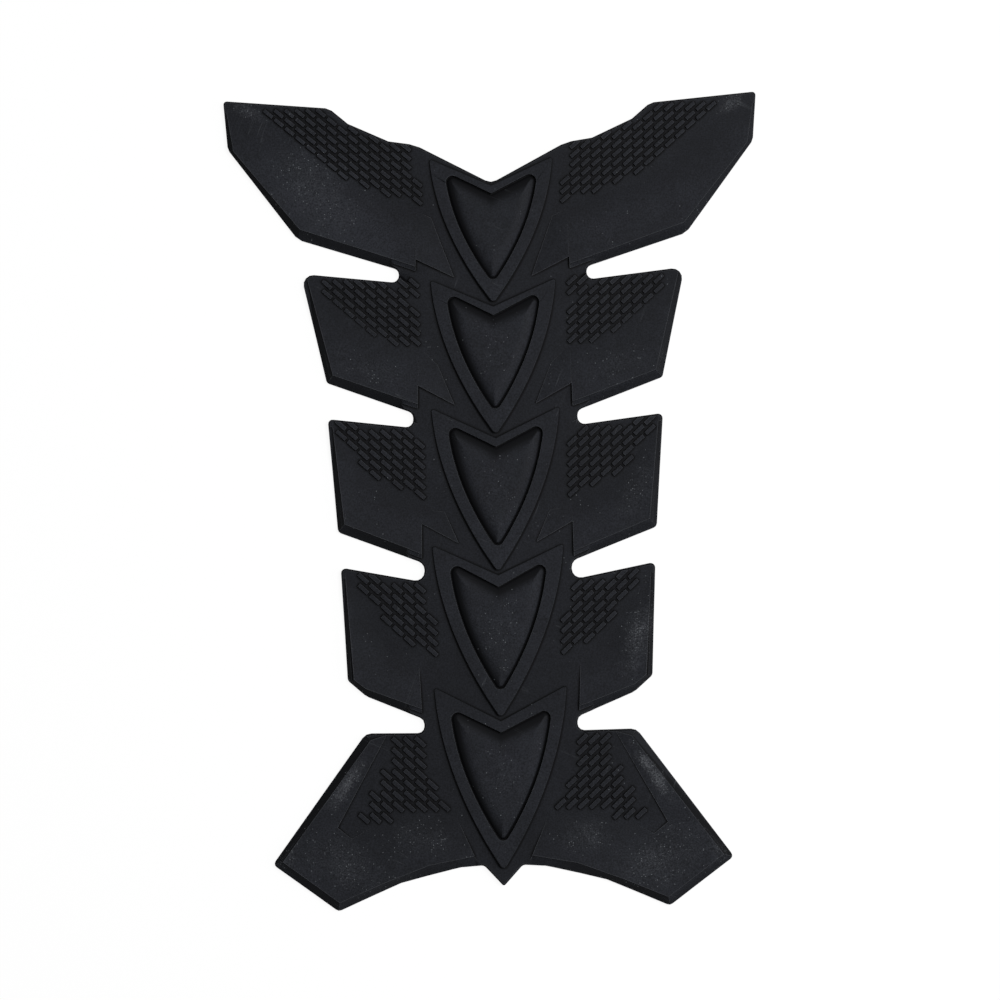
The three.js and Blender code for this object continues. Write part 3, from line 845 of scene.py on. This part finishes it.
def powder_mask(tree, patches, clouds, settled_and_lit):
    """Powder in the patches, mostly where the clouds are dense and the surface is turned to the lean,
    which paints such faces lighter as well as dustier.
    """
    gathered = maths(tree, "POWER", patches, PATCH_POWER)
    dense = maths(tree, "POWER", clouds, CLOUD_POWER)
    sticking_and_lit = scaled(tree, settled_and_lit, SETTLED_AND_LIT_POWDER, STEEP_POWDER)
    return times(tree, times(tree, gathered, dense), sticking_and_lit)


def marks_mask(tree, place, patches):
    """Specks and scratches."""
    specks = use(tree, dust_specks_group(), Vector=place, Patches=patches).outputs["Mask"]
    hairlines = fine_scratches_group()
    masks = [use(tree, hairlines, Vector=place, Turn=turn).outputs["Mask"] for turn in SCRATCH_TURNS]
    scratches = times(tree, maths(tree, "MAXIMUM", *masks), SCRATCH_SHARE)
    return maths(tree, "MAXIMUM", times(tree, specks, SPECK_SHARE), scratches)


def black_rubber(finish):
    """The pad's material: rubber under a film of dust and painted light, powder, edge wear with a painted
    highlight, marks and painted shade in creases.
    """
    material = bpy.data.materials.new("black_rubber")
    material.use_nodes = True
    tree = material.node_tree
    shader = tree.nodes["Principled BSDF"]
    place = tree.nodes.new("ShaderNodeTexCoord").outputs["Object"]
    axes = tree.nodes.new("ShaderNodeSeparateXYZ")
    tree.links.new(place, axes.inputs["Vector"])
    # Painted light and settled dust: how far a face turns to the lean, which makes it lighter.
    settled_and_lit = ramp(tree, *SETTLING_AND_LIGHT, facing(tree, finish.lean))
    clouds = use(tree, dust_haze_group(), Vector=place, Amount=HAZE_AMOUNT).outputs["Mask"]
    patch = dust_patch_group()
    patches = dust_patches(tree, place, axes, patch)
    edges = use(tree, wear_highlight_and_crease_shade_group())

    # Dust film and painted light: faces turned to the lean and raised forms come out lighter, the floor
    # darker.
    film_and_light = film_and_light_mask(tree, place, axes, patch, clouds, settled_and_lit)
    colour = blend_colour(tree, film_and_light, finish.rubber, finish.film_and_light)
    colour = blend_colour(tree, powder_mask(tree, patches, clouds, settled_and_lit), colour, finish.powder_and_highlight)
    # Edge wear with a painted highlight, lightening convex edges to the powder colour.
    colour = blend_colour(tree, times(tree, edges.outputs["HighlitWear"], WEAR_AND_HIGHLIGHT_SHARE), colour, finish.powder_and_highlight)
    colour = blend_colour(tree, marks_mask(tree, place, patches), colour, finish.speck)
    # Painted shade in creases and at the foot of steps, from the ambient occlusion.
    colour = blend_colour(tree, edges.outputs["Crease Shade"], colour, finish.crease_shade)
    tree.links.new(colour, shader.inputs["Base Color"])

    rough = scaled(tree, clouds, DUST_ROUGHNESS, CLEAN_ROUGHNESS)
    tree.links.new(rough, shader.inputs["Roughness"])
    shader.inputs["Specular IOR Level"].default_value = 0.04
    bump = tree.nodes.new("ShaderNodeBump")
    bump.inputs["Strength"].default_value = 0.35
    bump.inputs["Distance"].default_value = 0.04 * MM
    tree.links.new(use(tree, rubber_grain_group(), Vector=place).outputs["Height"], bump.inputs["Height"])
    tree.links.new(bump.outputs["Normal"], shader.inputs["Normal"])
    return material


class PADS_OT_stage(bpy.types.Operator):
    """A pale studio floor, soft lights and a camera straight above the pad"""
    bl_idname = "pads.stage"
    bl_label = "Stage"

    def execute(self, context):
        studio = context.scene.pad_studio
        self.lay_floor(studio)
        self.hang_light(context, "key_light", KEY_PLACE, KEY_SIZE, studio.key_power)
        self.hang_light(context, "side_light", SIDE_PLACE, SIDE_SIZE, studio.side_power)
        self.light_room(context, studio)
        self.place_camera(context, studio)
        context.scene.view_settings.view_transform = "Standard"
        return {"FINISHED"}

    def lay_floor(self, studio):
        """The floor, just under the pad's back."""
        deselect_all()
        bpy.ops.mesh.primitive_plane_add(size=STUDIO_WIDTH, location=(0, 0, -0.02 * MM))
        floor = bpy.context.object
        floor.name = "studio_floor"
        material = bpy.data.materials.new("studio_floor")
        material.use_nodes = True
        tree = material.node_tree
        shader = tree.nodes["Principled BSDF"]
        shader.inputs["Base Color"].default_value = (*studio.floor, 1)
        shader.inputs["Roughness"].default_value = 0.9
        shader.inputs["Specular IOR Level"].default_value = 0.1
        paper = tree.nodes.new("ShaderNodeEmission")
        mix = tree.nodes.new("ShaderNodeMixShader")
        tree.links.new(times(tree, self.background_rays(tree), PAPER_SHARE), mix.inputs["Fac"])
        tree.links.new(shader.outputs["BSDF"], mix.inputs[1])
        tree.links.new(paper.outputs["Emission"], mix.inputs[2])
        tree.links.new(mix.outputs["Shader"], tree.nodes["Material Output"].inputs["Surface"])
        floor.data.materials.append(material)

    def background_rays(self, tree):
        """1 for the rays that show the white background, 0 for those that light the pad."""
        rays = tree.nodes.new("ShaderNodeLightPath")
        shown = maths(tree, "MAXIMUM", rays.outputs["Is Glossy Ray"], rays.outputs["Is Transmission Ray"])
        return maths(tree, "MAXIMUM", rays.outputs["Is Camera Ray"], shown)

    def hang_light(self, context, name, place, size, power):
        """A rectangular light that looks at the middle of the pad."""
        deselect_all()
        bpy.ops.object.light_add(type="AREA", location=place)
        light = context.object
        light.name = name
        light.data.shape = "RECTANGLE"
        light.data.size, light.data.size_y = size
        light.data.energy = power
        light.rotation_euler = Vector(place).to_track_quat("Z", "Y").to_euler()

    def light_room(self, context, studio):
        """The world: dim for the rays that light the pad, bright for those that show it."""
        world = bpy.data.worlds.new("studio")
        context.scene.world = world
        world.use_nodes = True
        tree = world.node_tree
        room = tree.nodes["Background"]
        room.inputs["Color"].default_value = (1, 1, 1, 1)
        room.inputs["Strength"].default_value = studio.room_light
        bright = tree.nodes.new("ShaderNodeBackground")
        mix = tree.nodes.new("ShaderNodeMixShader")
        tree.links.new(self.background_rays(tree), mix.inputs["Fac"])
        tree.links.new(room.outputs["Background"], mix.inputs[1])
        tree.links.new(bright.outputs["Background"], mix.inputs[2])
        tree.links.new(mix.outputs["Shader"], tree.nodes["World Output"].inputs["Surface"])

    def place_camera(self, context, studio):
        """A camera far enough up to take in the view's width at the level of the floor."""
        deselect_all()
        x, y = VIEW_MIDDLE
        height = studio.view_width * LENS / SENSOR
        bpy.ops.object.camera_add(location=(x * MM, y * MM, height + FLOOR * MM),
                                  rotation=(0, 0, studio.view_turn))
        camera = context.object
        camera.name = "photo_camera"
        camera.data.lens = LENS
        camera.data.sensor_width = SENSOR
        camera.data.clip_start = 0.01
        context.scene.camera = camera


class PADS_PT_panel(bpy.types.Panel):
    """Lists the values and the steps that make the tank pad"""
    bl_label = "Tank Pad"
    bl_idname = "PADS_PT_panel"
    bl_space_type = "VIEW_3D"
    bl_region_type = "UI"
    bl_category = "Tank Pad"

    def draw(self, context):
        scene = context.scene
        for group in (scene.pad_shape, scene.pad_finish, scene.pad_studio):
            box = self.layout.box()
            for name in group.__annotations__:
                box.prop(group, name)
        for operator in STEPS:
            self.layout.operator(operator.bl_idname)


STEPS = (
    PADS_OT_moulded_skin,
    PADS_OT_brick_treads,
    PADS_OT_shield_scales,
    PADS_OT_one_moulding,
    PADS_OT_stage,
)
CLASSES = (PadShape, PadFinish, Studio, *STEPS, PADS_PT_panel)


def register():
    for cls in CLASSES:
        bpy.utils.register_class(cls)
    bpy.types.Scene.pad_shape = bpy.props.PointerProperty(type=PadShape)
    bpy.types.Scene.pad_finish = bpy.props.PointerProperty(type=PadFinish)
    bpy.types.Scene.pad_studio = bpy.props.PointerProperty(type=Studio)


def unregister():
    del bpy.types.Scene.pad_studio
    del bpy.types.Scene.pad_finish
    del bpy.types.Scene.pad_shape
    for cls in reversed(CLASSES):
        bpy.utils.unregister_class(cls)


def main():
    register()
    bpy.ops.pads.moulded_skin()
    bpy.ops.pads.brick_treads()
    bpy.ops.pads.shield_scales()
    bpy.ops.pads.one_moulding()
    bpy.ops.pads.stage()


if __name__ == "__main__":
    main()
